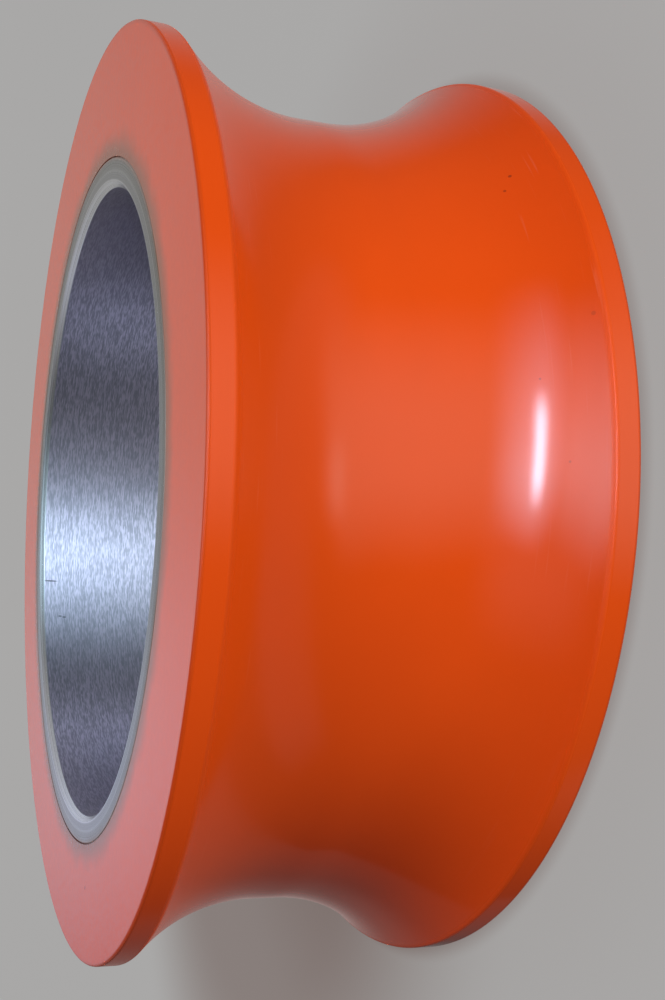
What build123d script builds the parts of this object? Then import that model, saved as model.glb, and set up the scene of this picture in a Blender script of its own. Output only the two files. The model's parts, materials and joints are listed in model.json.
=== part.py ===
from build123d import *
import os

# A grooved wheel: a cast polyurethane tyre bonded round a plain steel sleeve.
# Its axis is Z, it stands on one end face, and the origin is on the axis at mid width.
# Lengths are in millimetres.

wheel_width = 57.5

# Sleeve: a tube bored true, with its ends turned flush with the tyre
bore_diameter = 103.0
sleeve_wall = 4.5
bore_mouth_chamfer = 0.9
sleeve_edge_chamfer = 0.3

# The tyre is cast onto the sleeve, so the two touch all the way round
bond_gap = 0.0

# Tyre: its wall under the groove, and the flat rim on each side of the groove
tyre_wall = 9.6
rim_width = 3.6
rim_edge_chamfer = 0.4

# Running groove: a narrow flat floor that rises in one arc on each side to the rim
groove_depth = 9.4
groove_floor_width = 4.5
groove_edge_round = 0.8

half_width = wheel_width / 2
bore_radius = bore_diameter / 2
sleeve_radius = bore_radius + sleeve_wall
tyre_bore_radius = sleeve_radius + bond_gap
floor_radius = tyre_bore_radius + tyre_wall
wheel_radius = floor_radius + groove_depth
floor_edge = groove_floor_width / 2
groove_edge = half_width - rim_width

# Tyre: half its section, turned about the axis
with BuildPart() as tyre:
    with BuildSketch(Plane.XZ) as tyre_section:
        with BuildLine():
            body = Polyline(
                (wheel_radius, groove_edge),
                (wheel_radius, half_width),
                (tyre_bore_radius, half_width),
                (tyre_bore_radius, -half_width),
                (wheel_radius, -half_width),
                (wheel_radius, -groove_edge),
            )
            # Each flank's arc leaves the floor level with it and ends at the rim
            floor = Line((floor_radius, floor_edge), (floor_radius, -floor_edge))
            TangentArc(floor @ 0, body @ 0, tangent=floor % 0 * -1)
            TangentArc(floor @ 1, body @ 1, tangent=floor % 1)
        make_face()
        outer_corners = tyre_section.vertices().group_by(Axis.X)[-1].sort_by(Axis.Y)
        chamfer([outer_corners[0], outer_corners[-1]], rim_edge_chamfer)
        rim_corners = tyre_section.vertices().group_by(Axis.X)[-1].sort_by(Axis.Y)
        fillet([rim_corners[1], rim_corners[-2]], groove_edge_round)
    revolve(axis=Axis.Z)
tyre.part.label = "tyre"

# Sleeve: a tube with its bore mouths chamfered and its outer edges broken
with BuildPart() as sleeve:
    with BuildSketch(Plane.XY.offset(-half_width)):
        Circle(sleeve_radius)
        Circle(bore_radius, mode=Mode.SUBTRACT)
    extrude(amount=wheel_width)
    end_edges = sleeve.edges().filter_by(GeomType.CIRCLE).sort_by(SortBy.RADIUS)
    chamfer(end_edges[:2], bore_mouth_chamfer)
    chamfer(end_edges[2:], sleeve_edge_chamfer)
sleeve.part.label = "sleeve"

os.makedirs("parts", exist_ok=True)
export_step(tyre.part, "parts/tyre.step")
export_step(sleeve.part, "parts/sleeve.step")
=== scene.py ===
import json
from math import acos, cos, radians, sin, tan

import bmesh
import bpy
from mathutils import Matrix, Vector


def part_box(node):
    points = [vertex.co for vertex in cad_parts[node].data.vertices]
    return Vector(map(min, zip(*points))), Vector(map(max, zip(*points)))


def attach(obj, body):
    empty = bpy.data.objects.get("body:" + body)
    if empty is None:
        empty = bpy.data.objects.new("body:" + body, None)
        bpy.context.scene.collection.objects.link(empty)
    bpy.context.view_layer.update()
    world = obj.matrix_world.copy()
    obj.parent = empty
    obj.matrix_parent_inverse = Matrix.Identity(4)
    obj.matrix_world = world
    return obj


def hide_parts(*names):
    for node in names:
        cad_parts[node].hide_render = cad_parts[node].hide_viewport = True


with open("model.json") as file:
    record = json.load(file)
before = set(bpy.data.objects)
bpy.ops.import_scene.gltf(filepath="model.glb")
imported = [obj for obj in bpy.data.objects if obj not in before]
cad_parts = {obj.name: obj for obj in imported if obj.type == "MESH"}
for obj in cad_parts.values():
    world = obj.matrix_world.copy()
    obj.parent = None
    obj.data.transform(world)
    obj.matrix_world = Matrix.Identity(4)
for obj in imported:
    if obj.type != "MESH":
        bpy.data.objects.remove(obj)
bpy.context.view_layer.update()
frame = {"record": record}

# A grooved guide wheel: an orange polyurethane tyre on a turned steel sleeve.
# The axis is Z and the wheel stands on one end face. Lengths are in metres.

MM = 0.001

# Sizes read from the frame
tyre_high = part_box("tyre")[1]
sleeve_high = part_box("sleeve")[1]
mounts = {mount["name"]: mount for mount in frame["record"]["mounts"]}
wheel_radius = float(tyre_high[0])
half_width = float(tyre_high[2])
sleeve_radius = float(sleeve_high[0])
bore_radius = mounts["bore"]["dims"]["r_mm"] * MM
mouth_chamfer = half_width - mounts["bore"]["dims"]["length_mm"] * MM / 2

# Sizes of the section that no box gives
rim_width = 3.6 * MM
rim_edge = 0.4 * MM
groove_depth = 9.4 * MM
groove_floor_width = 4.5 * MM
groove_edge_round = 0.8 * MM
sleeve_edge = 0.3 * MM
groove_edge = half_width - rim_width
steel_edge_break = 0.06 * MM

# How finely the meshes are drawn, and where an edge counts as sharp
turn_steps = 256
flank_steps = 28
weld_distance = 0.001 * MM
ring_tolerance = 0.01 * MM
sharp_angle = radians(40)

# Grime and painted shade in the joint between the tyre and the sleeve, the same on both
grime_and_shade_brown = (0.03, 0.02, 0.015, 1)


# Outlines: drawn as edges in the XZ plane, from mid width up to the end face
def draw_line(bm, vert, radius, height):
    """Extrudes the end of an outline to a new place."""
    new_vert = bmesh.ops.extrude_vert_indiv(bm, verts=[vert])["verts"][0]
    new_vert.co = (radius, 0, height)
    return new_vert


def draw_arc(bm, vert, centre_radius, centre_height, angle, steps):
    """Turns the end of an outline about a point, which draws an arc."""
    turned = bmesh.ops.spin(
        bm, geom=[vert], cent=(centre_radius, 0, centre_height), axis=(0, 1, 0),
        angle=angle, steps=steps, use_duplicate=False,
    )
    return next(part for part in turned["geom_last"] if isinstance(part, bmesh.types.BMVert))


def turn_outline(bm):
    """Turns the half outline about Z, mirrors it and closes it into one shell."""
    bmesh.ops.spin(
        bm, geom=bm.verts[:] + bm.edges[:], cent=(0, 0, 0), axis=(0, 0, 1),
        angle=radians(360), steps=turn_steps, use_merge=True, use_duplicate=False,
    )
    bmesh.ops.mirror(bm, geom=bm.verts[:] + bm.edges[:] + bm.faces[:], axis="Z", merge_dist=weld_distance)
    bmesh.ops.remove_doubles(bm, verts=bm.verts[:], dist=weld_distance)
    bmesh.ops.recalc_face_normals(bm, faces=bm.faces[:])


def edge_rings(bm, radius, height):
    """The two rings of edges, one at each end, at this radius and height."""

    def on_ring(vert):
        flat_radius = Vector((vert.co.x, vert.co.y)).length
        at_height = abs(abs(vert.co.z) - height) < ring_tolerance
        return at_height and abs(flat_radius - radius) < ring_tolerance

    return [edge for edge in bm.edges if all(on_ring(vert) for vert in edge.verts)]


def round_rings(bm, radius, height, offset, segments):
    bmesh.ops.bevel(
        bm, geom=edge_rings(bm, radius, height), offset=offset, offset_type="OFFSET",
        affect="EDGES", segments=segments, profile=0.5, material=-1,
    )


def place_mesh(name, bm, material):
    """Makes an object from the bmesh, with one material."""
    mesh = bpy.data.meshes.new(name)
    bm.to_mesh(mesh)
    bm.free()
    mesh.materials.append(material)
    placed = bpy.data.objects.new(name, mesh)
    bpy.context.scene.collection.objects.link(placed)
    return placed


def finish_piece(name, bm, material, node):
    """Makes the object, gives it its finish and puts it in place of its node."""
    for face in bm.faces:
        face.smooth = True
    for edge in bm.edges:
        edge.smooth = edge.calc_face_angle(0) < sharp_angle
    piece = place_mesh(name, bm, material)
    even_normals = piece.modifiers.new("even_normals", "WEIGHTED_NORMAL")
    even_normals.mode = "FACE_AREA"
    even_normals.keep_sharp = True
    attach(piece, "root")
    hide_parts(node)


# Small helpers for shader nodes
def new_tree_group(name, inputs, outputs):
    """An empty node group. An input is name: (type, default), and an output is name: type."""
    group = bpy.data.node_groups.new(name, "ShaderNodeTree")
    for socket_name, (socket_type, default) in inputs.items():
        socket = group.interface.new_socket(socket_name, in_out="INPUT", socket_type=socket_type)
        if default is not None:
            socket.default_value = default
    for socket_name, socket_type in outputs.items():
        group.interface.new_socket(socket_name, in_out="OUTPUT", socket_type=socket_type)
    return group, group.nodes.new("NodeGroupInput"), group.nodes.new("NodeGroupOutput")


def feed(tree, socket, value):
    """Links a socket's source, or sets a plain value."""
    if isinstance(value, bpy.types.NodeSocket):
        tree.links.new(value, socket)
    else:
        socket.default_value = value


def maths(tree, operation, first, second=None, third=None):
    node = tree.nodes.new("ShaderNodeMath")
    node.operation = operation
    for socket, value in zip(node.inputs, (first, second, third)):
        if value is not None:
            feed(tree, socket, value)
    return node.outputs[0]


def times(tree, first, second):
    return maths(tree, "MULTIPLY", first, second)


def plus(tree, first, second):
    return maths(tree, "ADD", first, second)


def without(tree, mask):
    """The mask turned round: 1 where it is 0."""
    return maths(tree, "SUBTRACT", 1.0, mask)


def vector_maths(tree, operation, first, second=None):
    node = tree.nodes.new("ShaderNodeVectorMath")
    node.operation = operation
    feed(tree, node.inputs[0], first)
    if second is not None:
        feed(tree, node.inputs[1], second)
    return node.outputs["Value" if operation in ("LENGTH", "DISTANCE") else "Vector"]


def axes(tree, vector):
    """The X, Y and Z of a vector."""
    node = tree.nodes.new("ShaderNodeSeparateXYZ")
    feed(tree, node.inputs[0], vector)
    return node.outputs


def fade(tree, value, start, end, low=0.0, high=1.0, kind="SMOOTHSTEP"):
    """A step of a value, smooth unless kind says LINEAR, from low at start to high at end."""
    node = tree.nodes.new("ShaderNodeMapRange")
    node.interpolation_type = kind
    names = ("Value", "From Min", "From Max", "To Min", "To Max")
    for name, number in zip(names, (value, start, end, low, high)):
        feed(tree, node.inputs[name], number)
    return node.outputs["Result"]


def blend(tree, kind, amount, first, second):
    """From first to second: kind is FLOAT, VECTOR or RGBA."""
    node = tree.nodes.new("ShaderNodeMix")
    node.data_type = kind
    feed(tree, node.inputs["Factor"], amount)
    feed(tree, node.inputs["A"], first)
    feed(tree, node.inputs["B"], second)
    return node.outputs["Result"]


def blend_colours(tree, amount, first, second):
    return blend(tree, "RGBA", amount, first, second)


def stained(tree, colour, mask, strength, stain):
    """The colour taken towards the stain where the mask says, at most by the strength."""
    return blend_colours(tree, times(tree, mask, strength), colour, stain)


def noise(tree, vector, scale, detail=2.0, roughness=0.5):
    node = tree.nodes.new("ShaderNodeTexNoise")
    feed(tree, node.inputs["Vector"], vector)
    node.inputs["Scale"].default_value = scale
    node.inputs["Detail"].default_value = detail
    node.inputs["Roughness"].default_value = roughness
    return node.outputs["Fac"]


def use_group(tree, group, **values):
    node = tree.nodes.new("ShaderNodeGroup")
    node.node_tree = group
    for name, value in values.items():
        feed(tree, node.inputs[name.replace("_", " ")], value)
    return node.outputs


# Shared effect: where a point is on a turned piece
def make_wheel_places():
    group, places_in, places_out = new_tree_group(
        "wheel_places",
        {"Position": ("NodeSocketVector", None)},
        {"Radius": "NodeSocketFloat", "Height": "NodeSocketFloat"},
    )
    position = places_in.outputs["Position"]
    flat = vector_maths(group, "MULTIPLY", position, (1, 1, 0))
    feed(group, places_out.inputs["Radius"], vector_maths(group, "LENGTH", flat))
    feed(group, places_out.inputs["Height"], maths(group, "ABSOLUTE", axes(group, position)["Z"]))
    return group


# Shared effect: fine lines left by the lathe tool, on a face or along a wall
def make_turned_lines():
    group, lines_in, lines_out = new_tree_group(
        "turned_lines",
        {
            "Distance": ("NodeSocketFloat", 0.0),
            "Position": ("NodeSocketVector", None),
            "Lines per metre": ("NodeSocketFloat", 2000.0),
            "Waver": ("NodeSocketFloat", 0.3),
        },
        {"Lines": "NodeSocketFloat"},
    )
    waver = noise(group, lines_in.outputs["Position"], 60.0)
    shift = times(group, waver, lines_in.outputs["Waver"])
    along = times(group, lines_in.outputs["Distance"], lines_in.outputs["Lines per metre"])
    place = group.nodes.new("ShaderNodeCombineXYZ")
    feed(group, place.inputs["X"], along)
    feed(group, place.inputs["Y"], shift)
    feed(group, lines_out.inputs["Lines"], noise(group, place.outputs[0], 1.0, detail=3.0, roughness=0.7))
    return group


# Shared effect: short streaks that follow the circumference
def make_round_streaks():
    group, streaks_in, streaks_out = new_tree_group(
        "round_streaks",
        {
            "Position": ("NodeSocketVector", None),
            "Length": ("NodeSocketFloat", 0.002),
            "Thickness": ("NodeSocketFloat", 0.0003),
        },
        {"Streaks": "NodeSocketFloat"},
    )
    per_length = maths(group, "DIVIDE", 1.0, streaks_in.outputs["Length"])
    per_thickness = maths(group, "DIVIDE", 1.0, streaks_in.outputs["Thickness"])
    stretch = group.nodes.new("ShaderNodeCombineXYZ")
    feed(group, stretch.inputs["X"], per_length)
    feed(group, stretch.inputs["Y"], per_length)
    feed(group, stretch.inputs["Z"], per_thickness)
    drawn_out = vector_maths(group, "MULTIPLY", streaks_in.outputs["Position"], stretch.outputs[0])
    feed(group, streaks_out.inputs["Streaks"], noise(group, drawn_out, 1.0, detail=1.5, roughness=0.5))
    return group


# Shared effect: one small mark at a place on the surface
def make_small_mark():
    group, mark_in, mark_out = new_tree_group(
        "small_mark",
        {
            "Position": ("NodeSocketVector", None),
            "Place": ("NodeSocketVector", None),
            "Size": ("NodeSocketFloat", 0.0005),
        },
        {"Mark": "NodeSocketFloat"},
    )
    away = vector_maths(group, "DISTANCE", mark_in.outputs["Position"], mark_in.outputs["Place"])
    inner = times(group, mark_in.outputs["Size"], 0.5)
    feed(group, mark_out.inputs["Mark"], fade(group, away, mark_in.outputs["Size"], inner))
    return group


# Shared effect: grime and painted shade on the side away from the lights, most towards +Y, a little less
# towards -X and none opposite
def make_grime_and_shade_side():
    group, side_in, side_out = new_tree_group(
        "grime_and_shade_side",
        {"Position": ("NodeSocketVector", None)},
        {"Grime and shade": "NodeSocketFloat"},
    )
    place = axes(group, side_in.outputs["Position"])
    leaning = maths(group, "MULTIPLY_ADD", place["X"], -0.5, place["Y"])
    feed(group, side_out.inputs["Grime and shade"], fade(group, leaning, -5 * MM, 35 * MM))
    return group


wheel_places = make_wheel_places()
turned_lines = make_turned_lines()
round_streaks = make_round_streaks()
small_mark = make_small_mark()
grime_and_shade_side = make_grime_and_shade_side()


def new_finish(name):
    """A material with its Principled shader, and the piece's own position."""
    material = bpy.data.materials.new(name)
    material.use_nodes = True
    tree = material.node_tree
    shader = tree.nodes["Principled BSDF"]
    position = tree.nodes.new("ShaderNodeTexCoord").outputs["Object"]
    return material, tree, shader, position


def bump(tree, height, strength, distance):
    node = tree.nodes.new("ShaderNodeBump")
    node.inputs["Strength"].default_value = strength
    node.inputs["Distance"].default_value = distance
    feed(tree, node.inputs["Height"], height)
    return node.outputs["Normal"]


def on_wheel(radius, angle, height):
    """A point given by its radius, its angle from -Y towards +X, and its height."""
    return Vector((radius * sin(angle), -radius * cos(angle), height))


# Cast polyurethane: polished in the groove, matt on the turned end faces
def make_polyurethane():
    deep_orange = (0.78, 0.080, 0.0050, 1)
    light_orange = (0.86, 0.091, 0.0060, 1)
    deep_matt = (0.78, 0.085, 0.012, 1)
    light_matt = (0.85, 0.100, 0.014, 1)
    bond_brown = (0.22, 0.10, 0.045, 1)
    scuff_pink = (0.88, 0.24, 0.14, 1)
    speck_brown = (0.22, 0.025, 0.01, 1)
    handled_orange = (0.42, 0.045, 0.004, 1)

    material, tree, shader, position = new_finish("orange_polyurethane")
    coordinates = axes(tree, position)
    places = use_group(tree, wheel_places, Position=position)
    radius = places["Radius"]
    height = places["Height"]
    on_end = fade(tree, height, half_width - 0.3 * MM, half_width - 0.1 * MM)
    cloudy = noise(tree, position, 45.0, detail=3.0)
    colour = blend_colours(tree, cloudy, deep_orange, light_orange)

    # The end face is paler, and stained brown beside the sleeve
    matt = blend_colours(tree, cloudy, deep_matt, light_matt)
    colour = blend_colours(tree, on_end, colour, matt)
    blotches = noise(tree, position, 160.0, detail=4.0)
    halo_edge = plus(tree, sleeve_radius, fade(tree, blotches, 0.3, 0.7, 3.8 * MM, 5.4 * MM))
    halo = times(tree, fade(tree, radius, halo_edge, sleeve_radius), on_end)
    colour = stained(tree, colour, halo, 0.8, bond_brown)

    # Grime and painted shade in the joint, most of it on the side away from the lights
    joint = fade(tree, radius, sleeve_radius + 0.2 * MM, sleeve_radius + 0.04 * MM, 0.0, 0.6)
    grime_and_shade = use_group(tree, grime_and_shade_side, Position=position)["Grime and shade"]
    colour = stained(tree, colour, joint, grime_and_shade, grime_and_shade_brown)

    # Light scuffs beside the rims, fewer towards -X
    beside_rim = fade(tree, height, 16 * MM, 20 * MM)
    beside_rim = times(tree, beside_rim, fade(tree, height, groove_edge, groove_edge - 0.5 * MM))
    streaks = use_group(tree, round_streaks, Position=position, Length=12 * MM, Thickness=0.3 * MM)
    scuffs = times(tree, fade(tree, streaks["Streaks"], 0.64, 0.78), beside_rim)
    scuffs = times(tree, scuffs, fade(tree, coordinates["X"], -25 * MM, 5 * MM, 0.2, 1.0))
    colour = stained(tree, colour, scuffs, 0.18, scuff_pink)

    # A few dark specks, each with its size in millimetres and its strength
    specks = (
        (on_wheel(70.7 * MM, radians(44.9), -19.7 * MM), 0.34, 0.7),
        (on_wheel(69.9 * MM, radians(42.7), -18.4 * MM), 0.30, 0.6),
        (on_wheel(73.8 * MM, radians(23.3), -23.9 * MM), 0.40, 0.3),
        (on_wheel(69.5 * MM, radians(17.0), -17.6 * MM), 0.22, 0.5),
        (on_wheel(71.3 * MM, radians(7.9), -20.5 * MM), 0.24, 0.4),
        (on_wheel(62.9 * MM, radians(-75.5), half_width), 0.42, 0.8),
    )
    for speck, size, strength in specks:
        mark = use_group(tree, small_mark, Position=position, Place=speck, Size=size * MM)
        colour = stained(tree, colour, mark["Mark"], strength, speck_brown)

    # The rim's outer edge is handled dull and a little darker
    near_edge = fade(tree, radius, wheel_radius - 0.9 * MM, wheel_radius - 0.2 * MM)
    past_lip = fade(tree, height, groove_edge - 1.2 * MM, groove_edge - 0.4 * MM)
    on_rim = fade(tree, height, groove_edge, groove_edge + 0.5 * MM)
    on_chamfer = fade(tree, height, half_width - 0.6 * MM, half_width - 0.4 * MM)
    colour = stained(tree, colour, times(tree, near_edge, on_chamfer), 0.35, handled_orange)
    feed(tree, shader.inputs["Base Color"], colour)

    # The groove is polished, less so on its lip, its upper flank and the scuffs, and the end is ground
    lip_and_chamfer = plus(tree, without(tree, on_rim), on_chamfer)
    worn = times(tree, times(tree, near_edge, past_lip), lip_and_chamfer)
    upper_flank = fade(tree, coordinates["Z"], 3 * MM, 14 * MM, 0.0, 0.09)
    polished = plus(tree, fade(tree, cloudy, 0.3, 0.7, 0.08, 0.12), times(tree, worn, 0.25))
    polished = plus(tree, polished, upper_flank)
    polished = plus(tree, polished, times(tree, scuffs, 0.08))
    ground = fade(tree, noise(tree, position, 900.0), 0.3, 0.7, 0.18, 0.26)
    feed(tree, shader.inputs["Roughness"], blend(tree, "FLOAT", on_end, polished, ground))

    # Lathe lines, clear on the end and faint in the groove
    end_lines = use_group(tree, turned_lines, Distance=radius, Position=position, Lines_per_metre=1800.0)
    groove_lines = use_group(tree, turned_lines, Distance=height, Position=position, Lines_per_metre=1200.0)
    in_groove = times(tree, groove_lines["Lines"], without(tree, on_end))
    relief = plus(tree, times(tree, end_lines["Lines"], on_end), times(tree, in_groove, 0.1))
    feed(tree, shader.inputs["Normal"], bump(tree, relief, 0.25, 0.01 * MM))
    shader.inputs["IOR"].default_value = 1.5
    return material


# Turned steel: fine rings on the end, short streaks round the bore
def make_steel():
    dark_metal = (0.48, 0.44, 0.51, 1)
    bright_fleck = (0.86, 0.78, 0.88, 1)
    shaded_metal = (0.22, 0.20, 0.23, 1)
    scratch_grey = (0.04, 0.045, 0.05, 1)
    chamfer_grey = (0.68, 0.68, 0.70, 1)
    band_grey = (0.32, 0.32, 0.32, 1)
    line_grey = (0.40, 0.40, 0.39, 1)
    edge_grey = (0.26, 0.25, 0.23, 1)
    edge_brown = (0.30, 0.19, 0.15, 1)
    ring_grey = (0.25, 0.25, 0.25, 1)
    smudge_brown = (0.17, 0.12, 0.07, 1)

    material, tree, shader, position = new_finish("turned_steel")
    places = use_group(tree, wheel_places, Position=position)
    radius = places["Radius"]
    wall_end = half_width - mouth_chamfer
    on_end = fade(tree, places["Height"], wall_end - 0.1 * MM, wall_end)
    fine = use_group(tree, round_streaks, Position=position, Length=1.3 * MM, Thickness=0.16 * MM)
    coarse = use_group(tree, round_streaks, Position=position, Length=3.6 * MM, Thickness=0.3 * MM)
    streaks = plus(tree, times(tree, fine["Streaks"], 0.6), times(tree, coarse["Streaks"], 0.4))
    end_lines = use_group(tree, turned_lines, Distance=radius, Position=position, Lines_per_metre=5000.0)
    rings = end_lines["Lines"]
    cloudy = noise(tree, position, 90.0, detail=4.0)

    # Bore wall: bright flecks on darker metal, with painted shade and dark reflection towards +X and a
    # little towards -X
    wall = blend_colours(tree, fade(tree, streaks, 0.42, 0.60), dark_metal, bright_fleck)
    across = axes(tree, position)["X"]
    painted_shade_plus_x = fade(tree, across, 32 * MM, 50 * MM, 0.0, 0.75)
    painted_shade_minus_x = fade(tree, across, -38 * MM, -50 * MM, 0.0, 0.45)
    wall = blend_colours(tree, plus(tree, painted_shade_plus_x, painted_shade_minus_x), wall, shaded_metal)

    # A short dark scratch along the bore, and two nicks beside it
    scratches = (
        (on_wheel(bore_radius, radians(-162.6), 26.5 * MM), 0.10),
        (on_wheel(bore_radius, radians(-154.2), 24.7 * MM), 0.35),
        (on_wheel(bore_radius, radians(-154.0), 23.9 * MM), 0.35),
    )
    for scratch, slimness in scratches:
        shape = Vector((1, 1, slimness))
        stretched = vector_maths(tree, "MULTIPLY", position, shape)
        mark = use_group(tree, small_mark, Position=stretched, Place=scratch * shape, Size=0.17 * MM)
        wall = blend_colours(tree, mark["Mark"], wall, scratch_grey)

    # End ring: its bands, each with its distance from the bore in millimetres
    bands = tree.nodes.new("ShaderNodeValToRGB")
    feed(tree, bands.inputs["Fac"], fade(tree, radius, bore_radius, sleeve_radius, kind="LINEAR"))
    stops = (
        (0.0, chamfer_grey), (1.0, chamfer_grey), (1.2, band_grey), (2.1, band_grey),
        (2.3, line_grey), (2.5, line_grey), (2.8, edge_grey), (3.5, edge_grey), (4.5, edge_brown),
    )
    elements = bands.color_ramp.elements
    while len(elements) < len(stops):
        elements.new(1.0)
    for element, (distance, band_colour) in zip(elements, stops):
        element.position = distance * MM / (sleeve_radius - bore_radius)
        element.color = band_colour
    end = blend_colours(tree, fade(tree, rings, 0.35, 0.65, 0.35, 0.0), bands.outputs["Color"], ring_grey)

    # Brown smudges beside the joint, and grime with painted shade in it, most on the side away from the
    # lights
    beside_joint = fade(tree, radius, sleeve_radius - 2 * MM, sleeve_radius)
    smudge = times(tree, fade(tree, cloudy, 0.5, 0.7), beside_joint)
    end = stained(tree, end, smudge, 0.7, smudge_brown)
    colour = blend_colours(tree, on_end, wall, end)
    joint = fade(tree, radius, sleeve_radius - sleeve_edge, sleeve_radius - 0.1 * MM)
    grime_and_shade = use_group(tree, grime_and_shade_side, Position=position)["Grime and shade"]
    colour = stained(tree, colour, joint, grime_and_shade, grime_and_shade_brown)
    feed(tree, shader.inputs["Base Color"], colour)
    bare_metal = fade(tree, radius, sleeve_radius - 0.7 * MM, sleeve_radius - 0.25 * MM, 1.0, 0.15)
    feed(tree, shader.inputs["Metallic"], bare_metal)

    wall_dullness = fade(tree, streaks, 0.35, 0.65, 0.50, 0.40)
    end_dullness = fade(tree, rings, 0.35, 0.65, 0.26, 0.34)
    feed(tree, shader.inputs["Roughness"], blend(tree, "FLOAT", on_end, wall_dullness, end_dullness))
    wall_relief = bump(tree, streaks, 0.4, 0.02 * MM)
    end_relief = bump(tree, rings, 0.3, 0.01 * MM)
    feed(tree, shader.inputs["Normal"], blend(tree, "VECTOR", on_end, wall_relief, end_relief))

    # The gloss is drawn out along the turning marks
    shader.inputs["Anisotropic"].default_value = 0.65
    shader.inputs["Anisotropic Rotation"].default_value = 0.25
    tangent = tree.nodes.new("ShaderNodeTangent")
    tangent.direction_type = "RADIAL"
    tangent.axis = "Z"
    feed(tree, shader.inputs["Tangent"], tangent.outputs[0])
    return material


# Tyre
def make_tyre():
    floor_radius = wheel_radius - groove_depth
    floor_edge = groove_floor_width / 2
    flank_run = groove_edge - floor_edge
    flank_radius = (groove_depth ** 2 + flank_run ** 2) / (2 * groove_depth)
    flank_angle = acos(1 - groove_depth / flank_radius)

    bm = bmesh.new()
    vert = bm.verts.new((floor_radius, 0, 0))
    vert = draw_line(bm, vert, floor_radius, floor_edge)
    vert = draw_arc(bm, vert, floor_radius + flank_radius, floor_edge, flank_angle, flank_steps)
    vert = draw_line(bm, vert, wheel_radius, half_width)
    vert = draw_line(bm, vert, sleeve_radius, half_width)
    draw_line(bm, vert, sleeve_radius, 0)
    turn_outline(bm)
    edge_round_reach = groove_edge_round * tan(flank_angle / 2)
    round_rings(bm, wheel_radius, groove_edge, edge_round_reach, segments=5)
    round_rings(bm, wheel_radius, half_width, rim_edge, segments=4)
    finish_piece("cast_tyre", bm, make_polyurethane(), "tyre")


# Sleeve
def make_sleeve():
    bm = bmesh.new()
    vert = bm.verts.new((sleeve_radius, 0, 0))
    vert = draw_line(bm, vert, sleeve_radius, half_width - sleeve_edge)
    vert = draw_line(bm, vert, sleeve_radius - sleeve_edge, half_width)
    vert = draw_line(bm, vert, bore_radius + mouth_chamfer, half_width)
    vert = draw_line(bm, vert, bore_radius, half_width - mouth_chamfer)
    draw_line(bm, vert, bore_radius, 0)
    turn_outline(bm)
    round_rings(bm, bore_radius + mouth_chamfer, half_width, steel_edge_break, segments=2)
    round_rings(bm, bore_radius, half_width - mouth_chamfer, steel_edge_break, segments=2)
    finish_piece("turned_sleeve", bm, make_steel(), "sleeve")


make_tyre()
make_sleeve()


# Floor: pale, shaded along the rim that stands on it and on the side away from the lights
def make_floor():
    floor_reach = 4.0
    unlit = (0.03, 0.03, 0.03, 1)
    pale = (0.38, 0.377, 0.373, 1)
    orange_shade = (0.13, 0.075, 0.06, 1)
    standing_centre = Vector((0, 0, -half_width))
    shadow_centre = Vector((-60 * MM, 75 * MM, -half_width))

    material, tree, shader, position = new_finish("pale_floor")
    shader.inputs["Base Color"].default_value = unlit
    shader.inputs["Roughness"].default_value = 0.8
    shader.inputs["Specular IOR Level"].default_value = 0.0
    from_axis = vector_maths(tree, "DISTANCE", position, standing_centre)
    beside_wheel = fade(tree, from_axis, wheel_radius + 45 * MM, wheel_radius, 0.0, 0.1)
    along_rim = fade(tree, from_axis, wheel_radius + 3 * MM, wheel_radius - 0.5 * MM, 0.0, 0.3)
    from_shadow = vector_maths(tree, "DISTANCE", position, shadow_centre)
    shadow = plus(tree, beside_wheel, fade(tree, from_shadow, 130 * MM, 55 * MM, 0.0, 0.6))
    shadow = plus(tree, shadow, along_rim)
    feed(tree, shader.inputs["Emission Color"], blend_colours(tree, shadow, pale, orange_shade))
    path = tree.nodes.new("ShaderNodeLightPath")
    feed(tree, shader.inputs["Emission Strength"], path.outputs["Is Camera Ray"])

    bm = bmesh.new()
    bmesh.ops.create_grid(bm, x_segments=1, y_segments=1, size=floor_reach)
    bmesh.ops.translate(bm, verts=bm.verts[:], vec=standing_centre)
    floor = place_mesh("floor", bm, material)
    floor.visible_glossy = False
    floor.visible_shadow = False


make_floor()


# Lights: glowing cards with soft edges, which add to what is behind them
def make_glow(name, radiance, tint, soft_edges):
    """soft_edges are the shares of the card that fade at its left, right, bottom and top."""
    material = bpy.data.materials.new(name)
    material.use_nodes = True
    tree = material.node_tree
    tree.nodes.clear()
    place = axes(tree, tree.nodes.new("ShaderNodeTexCoord").outputs["UV"])
    left, right, bottom, top = soft_edges
    strength = radiance
    for axis, start, end in (("X", 0, left), ("X", 1, 1 - right), ("Y", 0, bottom), ("Y", 1, 1 - top)):
        strength = times(tree, fade(tree, place[axis], start, end), strength)
    glow = tree.nodes.new("ShaderNodeEmission")
    glow.inputs["Color"].default_value = tint
    feed(tree, glow.inputs["Strength"], strength)
    both = tree.nodes.new("ShaderNodeAddShader")
    feed(tree, both.inputs[0], glow.outputs[0])
    feed(tree, both.inputs[1], tree.nodes.new("ShaderNodeBsdfTransparent").outputs[0])
    output = tree.nodes.new("ShaderNodeOutputMaterial")
    feed(tree, output.inputs["Surface"], both.outputs[0])
    material.cycles.emission_sampling = "NONE"
    return material


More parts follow.
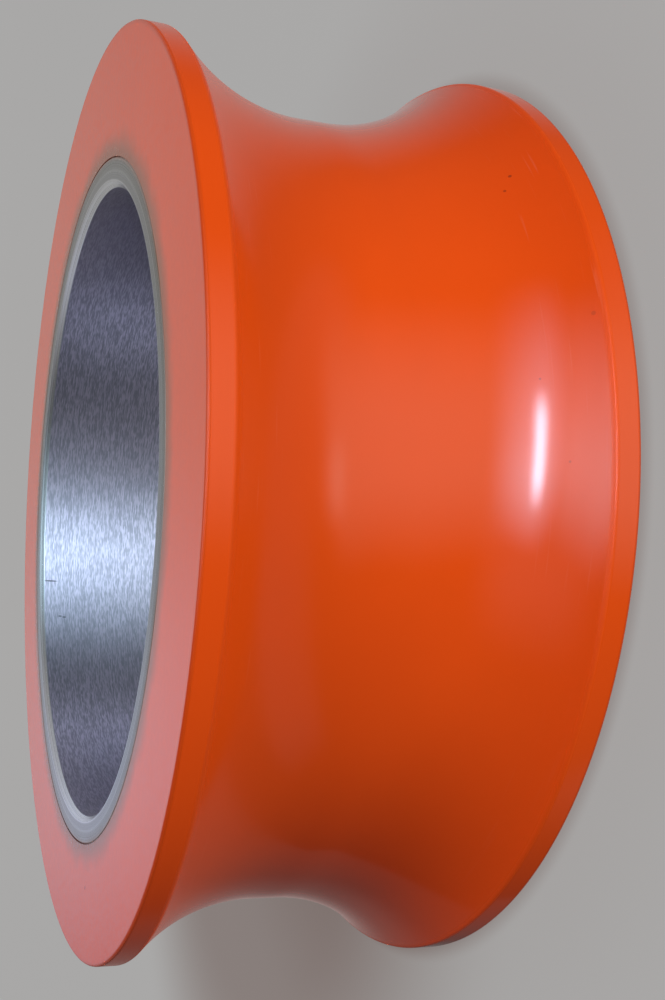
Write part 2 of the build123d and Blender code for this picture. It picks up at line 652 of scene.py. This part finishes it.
def make_card(name, centre, facing, width, height, radiance, tint, soft_edges):
    """A card that faces a point, and shows only in the gloss of the tyre and the steel."""
    bm = bmesh.new()
    bm.loops.layers.uv.new("card")
    bmesh.ops.create_grid(bm, x_segments=1, y_segments=1, size=0.5, calc_uvs=True)
    bmesh.ops.scale(bm, vec=(width, height, 1), verts=bm.verts[:])
    turn = (facing - centre).to_track_quat("Z", "Y").to_matrix().to_4x4()
    bmesh.ops.transform(bm, matrix=Matrix.Translation(centre) @ turn, verts=bm.verts[:])
    card = place_mesh(name, bm, make_glow(name, radiance, tint, soft_edges))
    card.visible_camera = False
    card.visible_shadow = False
    card.visible_diffuse = False


def heading(azimuth, elevation):
    """A direction given by its angle from -Y towards +X, and its angle above the floor, in degrees."""
    across = cos(radians(elevation))
    turned = radians(azimuth)
    return Vector((across * sin(turned), -across * cos(turned), sin(radians(elevation))))


def hang_card(name, seen_from, azimuths, elevations, distance, radiance, tint, soft_sides, soft_ends):
    """A card that fills these angles, seen from a point on the tyre.

    The first azimuth is at its right edge. soft_sides are the shares that fade at its first and
    last azimuth, and soft_ends those at its first and last elevation.
    """
    azimuth = sum(azimuths) / 2
    elevation = sum(elevations) / 2
    width = 2 * distance * tan(radians(azimuths[1] - azimuths[0]) / 2)
    height = 2 * distance * tan(radians(elevations[1] - elevations[0]) / 2)
    centre = seen_from + heading(azimuth, elevation) * distance
    make_card(name, centre, seen_from, width, height, radiance, tint, soft_sides[::-1] + soft_ends)


lamp_tint = (0.68, 0.77, 1.0, 1)
haze_tint = (0.50, 0.78, 1.0, 1)
ceiling_tint = (0.60, 0.85, 1.0, 1)
dim_tint = (0.75, 1.0, 0.92, 1)
on_flank = Vector((12, -68, -17)) * MM
on_floor = Vector((12, -65, 4)) * MM

# A long lamp in front and above, the haze round it, and the ceiling that it lights
hang_card("lamp", on_flank, (6, 38), (20, 27), 1.0, 27.0, lamp_tint, (0.35, 0.3), (0.45, 0.45))
hang_card("lamp_haze", on_flank, (-4, 68), (2, 36), 1.0, 9.0, haze_tint, (0.35, 0.8), (0.75, 0.4))
hang_card("lit_ceiling", on_flank, (0, 64), (26, 66), 1.1, 4.2, ceiling_tint, (0.45, 0.75), (0.3, 0.4))
hang_card("faint_ceiling", on_flank, (-34, 30), (-4, 56), 1.1, 0.4, ceiling_tint, (0.4, 0.5), (0.4, 0.4))
hang_card("overhead", on_flank, (-10, 50), (60, 88), 0.6, 2.4, ceiling_tint, (0.3, 0.3), (0.2, 0.2))

# The dimmer side of the ceiling, a second lamp far along it, and a faint light from below
hang_card("dim_ceiling", on_floor, (-12, 66), (-55, 22), 0.4, 1.05, dim_tint, (0.4, 0.5), (0.15, 0.3))
hang_card("far_lamp", on_floor, (0, 26), (-53, -41), 0.35, 1.5, dim_tint, (0.4, 0.5), (0.5, 0.5))
hang_card("low_glow", on_floor, (-60, 60), (-88, -52), 0.25, 0.16, ceiling_tint, (0.2, 0.2), (0.2, 0.3))

# A faint glow under the bore, which shows in the gloss of its wall
table_tint = (1.0, 0.99, 0.98, 1)
bore_width = 2 * bore_radius
below_bore = Vector((0, 0, -half_width - 3 * MM))
above_bore = below_bore + Vector((0, 0, 1))
even_edges = (0.2, 0.2, 0.2, 0.2)
make_card("bore_fill", below_bore, above_bore, bore_width, bore_width, 0.08, table_tint, even_edges)

# Pale cards close behind the wheel, brightest beside it and warm where the tyre shades them
table_y = wheel_radius + 0.5 * MM
shine_tint = (0.55, 0.66, 1.0, 1)
warm_tint = (1.0, 0.42, 0.36, 1)


def lay_table_card(name, layer, x_span, z_span, radiance, tint, soft_edges):
    """The layers are a millimetre apart, so that the gloss shows all of them."""
    centre = Vector((sum(x_span) / 2, table_y + layer * MM, sum(z_span) / 2))
    towards_wheel = centre - Vector((0, 1, 0))
    width = x_span[1] - x_span[0]
    height = z_span[1] - z_span[0]
    make_card(name, centre, towards_wheel, width, height, radiance, tint, soft_edges)


lay_table_card("table_near", 0, (-0.16, 0.34), (-0.5, 0.5), 0.40, table_tint, (0.28, 0.65, 0.2, 0.2))
lay_table_card("table_far", 1, (-0.42, -0.02), (-0.5, 0.5), 0.07, table_tint, (0.05, 0.6, 0.2, 0.2))
lay_table_card("table_shine", 2, (-0.17, 0.035), (0.005, 0.175), 0.5, shine_tint, (0.5, 0.5, 0.3, 0.5))
lay_table_card("table_warm", 3, (-0.24, -0.04), (-0.09, 0.07), 0.16, warm_tint, (0.4, 0.3, 0.3, 0.4))


# Soft lights that the colours are seen by: two in front, high and low, and one behind
def hang_light(name, azimuth, elevation, distance, energy):
    """A light that faces the wheel's centre and isn't seen in gloss. Its size goes with its distance."""
    width_share = 0.6
    height_share = 0.4
    soft_white = (1.0, 0.98, 0.96)
    data = bpy.data.lights.new(name, "AREA")
    data.shape = "RECTANGLE"
    data.size = width_share * distance
    data.size_y = height_share * distance
    data.energy = energy
    data.color = soft_white
    light = bpy.data.objects.new(name, data)
    bpy.context.scene.collection.objects.link(light)
    direction = heading(azimuth, elevation)
    turn = direction.to_track_quat("Z", "Y").to_matrix().to_4x4()
    light.matrix_world = Matrix.Translation(direction * distance) @ turn
    light.visible_camera = False
    light.visible_glossy = False


hang_light("upper_light", azimuth=24, elevation=53, distance=0.9, energy=5.1)
hang_light("lower_light", azimuth=24, elevation=-36, distance=1.5, energy=16.0)
hang_light("back_light", azimuth=182, elevation=8, distance=1.5, energy=13.0)


# Room: pale where the camera looks past the floor, dim in reflections, warm where it only fills the shade
def make_room():
    backdrop_radiance = 0.40
    gloss_radiance = 0.05
    fill_radiance = 0.12
    pale = (1.0, 0.99, 0.97, 1)
    warm = (1.0, 0.40, 0.35, 1)
    world = bpy.data.worlds.new("room")
    bpy.context.scene.world = world
    world.use_nodes = True
    tree = world.node_tree
    background = tree.nodes["Background"]
    path = tree.nodes.new("ShaderNodeLightPath")
    strength = blend(tree, "FLOAT", path.outputs["Is Camera Ray"], fill_radiance, backdrop_radiance)
    strength = blend(tree, "FLOAT", path.outputs["Is Glossy Ray"], strength, gloss_radiance)
    feed(tree, background.inputs["Color"], blend_colours(tree, path.outputs["Is Diffuse Ray"], pale, warm))
    feed(tree, background.inputs["Strength"], strength)


make_room()


# Camera: the photograph's own view, with the wheel's axis across the picture
def make_camera():
    position = Vector((0, -210.81, 66.07)) * MM
    aim = Vector((-21.69, 0, -8.51)) * MM
    picture_up = Vector((0.9934, 0.1117, 0.0267))
    picture_height = 1000
    focal_pixels = 1246.3
    picture_centre = Vector((332.5, 500))
    optical_centre = Vector((285.6, 642.0))
    sensor_height = 36.0

    data = bpy.data.cameras.new("camera")
    data.sensor_fit = "VERTICAL"
    data.sensor_height = sensor_height
    data.lens = focal_pixels / picture_height * sensor_height
    data.shift_x = (picture_centre.x - optical_centre.x) / picture_height
    data.shift_y = (optical_centre.y - picture_centre.y) / picture_height
    data.clip_start = 0.01
    camera = bpy.data.objects.new("camera", data)
    bpy.context.scene.collection.objects.link(camera)
    back = (position - aim).normalized()
    right = picture_up.cross(back).normalized()
    up = back.cross(right)
    camera.matrix_world = Matrix.Translation(position) @ Matrix((right, up, back)).transposed().to_4x4()
    bpy.context.scene.camera = camera


make_camera()
bpy.context.scene.view_settings.view_transform = "Standard"
